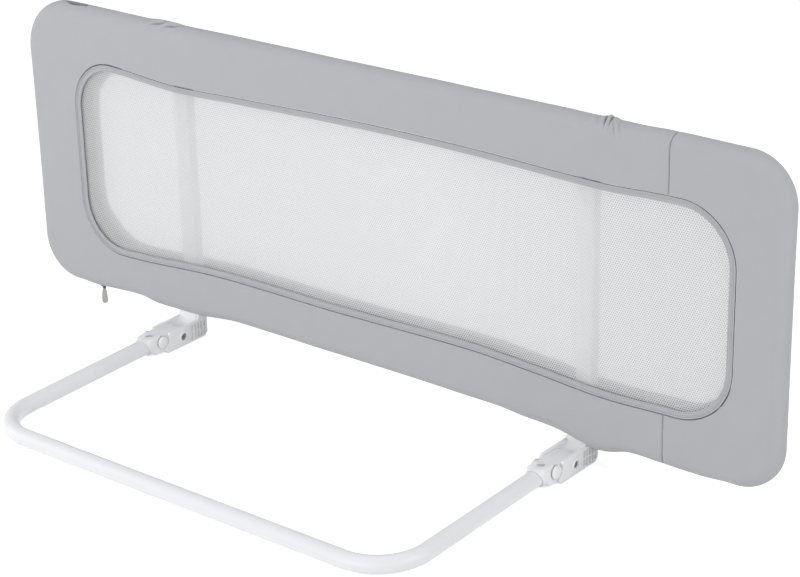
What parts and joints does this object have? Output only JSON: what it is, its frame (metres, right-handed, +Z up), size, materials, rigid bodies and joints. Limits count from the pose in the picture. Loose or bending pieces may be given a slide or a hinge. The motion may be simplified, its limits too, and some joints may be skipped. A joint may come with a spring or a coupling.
{
  "type": "folding bed guard rail",
  "caption": "Fabric-covered guard rail with a mesh window for a bed's edge, on a U-shaped tube base that goes under the mattress, with push-button hinges that fold it flat",
  "frame": {"origin": "middle of the bounding box at its bottom, on the plane that the base and hinges rest on", "axes": "+X along the rail, -Y towards the bed's middle under the mattress, +Z up"},
  "size_m": [1.2, 0.4048, 0.4439],
  "materials": {
    "cover_fabric": "light grey woven polyester over foam",
    "binding_fabric": "light grey woven binding tape",
    "mesh_fabric": "fine white knitted mesh",
    "white_powder_coat": "satin white powder coat on steel tube",
    "white_plastic": "white moulded nylon, satin",
    "bright_steel": "zinc-plated steel",
    "spring_steel": "drawn spring steel",
    "zip_metal": "dull nickel-plated die-cast metal"
  },
  "bodies": {
    "base": {"base_tube": "white_powder_coat", "left_base_knuckle": "white_plastic", "left_outer_release_spring": "spring_steel", "left_inner_release_spring": "spring_steel", "left_tube_snap_spring": "spring_steel", "right_base_knuckle": "white_plastic", "right_outer_release_spring": "spring_steel", "right_inner_release_spring": "spring_steel", "right_tube_snap_spring": "spring_steel"},
    "panel": {"left_fork_bracket": "white_plastic", "left_pivot_bolt": "bright_steel", "left_pivot_nut": "bright_steel", "left_upright": "white_powder_coat", "left_end_bow": "white_powder_coat", "left_top_tee": "white_plastic", "left_bottom_connector": "white_plastic", "left_post_screw": "bright_steel", "left_top_rail_screw": "bright_steel", "left_top_bow_screw": "bright_steel", "left_bottom_rail_screw": "bright_steel", "left_bottom_bow_screw": "bright_steel", "right_fork_bracket": "white_plastic", "right_pivot_bolt": "bright_steel", "right_pivot_nut": "bright_steel", "right_upright": "white_powder_coat", "right_end_bow": "white_powder_coat", "right_top_tee": "white_plastic", "right_bottom_connector": "white_plastic", "right_post_screw": "bright_steel", "right_top_rail_screw": "bright_steel", "right_top_bow_screw": "bright_steel", "right_bottom_rail_screw": "bright_steel", "right_bottom_bow_screw": "bright_steel", "top_rail": "white_powder_coat", "bottom_rail": "white_powder_coat", "cover_main": "cover_fabric", "cover_right_end": "cover_fabric", "front_binding": "binding_fabric", "back_binding": "binding_fabric", "front_mesh": "mesh_fabric", "back_mesh": "mesh_fabric", "zip_chain": "cover_fabric"},
    "left_outer_release_button": {"left_outer_release_button": "white_plastic"},
    "left_inner_release_button": {"left_inner_release_button": "white_plastic"},
    "left_tube_snap_button": {"left_tube_snap_button": "white_plastic"},
    "right_outer_release_button": {"right_outer_release_button": "white_plastic"},
    "right_inner_release_button": {"right_inner_release_button": "white_plastic"},
    "right_tube_snap_button": {"right_tube_snap_button": "white_plastic"},
    "zip_slider": {"zip_slider": "zip_metal"},
    "zip_pull": {"zip_pull": "zip_metal"}
  },
  "joints": [
    {"name": "panel_fold", "type": "hinge", "parent": "base", "child": "panel", "pos_m": [0, 0.1465, 0.0135], "axis": [1, 0, 0], "range_deg": [0, 90]},
    {"name": "left_outer_release_press", "type": "slide", "parent": "base", "child": "left_outer_release_button", "axis": [1, 0, 0], "range_m": [0, 0.0024], "stiffness_N_per_m": 200, "springref_m": -0.004, "deforming": ["left_outer_release_spring"]},
    {"name": "left_inner_release_press", "type": "slide", "parent": "base", "child": "left_inner_release_button", "axis": [-1, 0, 0], "range_m": [0, 0.0024], "stiffness_N_per_m": 200, "springref_m": -0.004, "deforming": ["left_inner_release_spring"]},
    {"name": "left_tube_snap_press", "type": "slide", "parent": "base", "child": "left_tube_snap_button", "axis": [0, 0, -1], "range_m": [0, 0.0026], "stiffness_N_per_m": 300, "springref_m": -0.003, "deforming": ["left_tube_snap_spring"]},
    {"name": "right_outer_release_press", "type": "slide", "parent": "base", "child": "right_outer_release_button", "axis": [-1, 0, 0], "range_m": [0, 0.0024], "stiffness_N_per_m": 200, "springref_m": -0.004, "deforming": ["right_outer_release_spring"]},
    {"name": "right_inner_release_press", "type": "slide", "parent": "base", "child": "right_inner_release_button", "axis": [1, 0, 0], "range_m": [0, 0.0024], "stiffness_N_per_m": 200, "springref_m": -0.004, "deforming": ["right_inner_release_spring"]},
    {"name": "right_tube_snap_press", "type": "slide", "parent": "base", "child": "right_tube_snap_button", "axis": [0, 0, -1], "range_m": [0, 0.0026], "stiffness_N_per_m": 300, "springref_m": -0.003, "deforming": ["right_tube_snap_spring"]},
    {"name": "zip_run", "type": "slide", "parent": "panel", "child": "zip_slider", "axis": [-1, 0, 0], "range_m": [0, 0.03]},
    {"name": "zip_pull_swing", "type": "hinge", "parent": "zip_slider", "child": "zip_pull", "pos_m": [-0.498, 0.1865, 0.0256], "axis": [1, 0, 0], "range_deg": [-60, 60]}
  ]
}
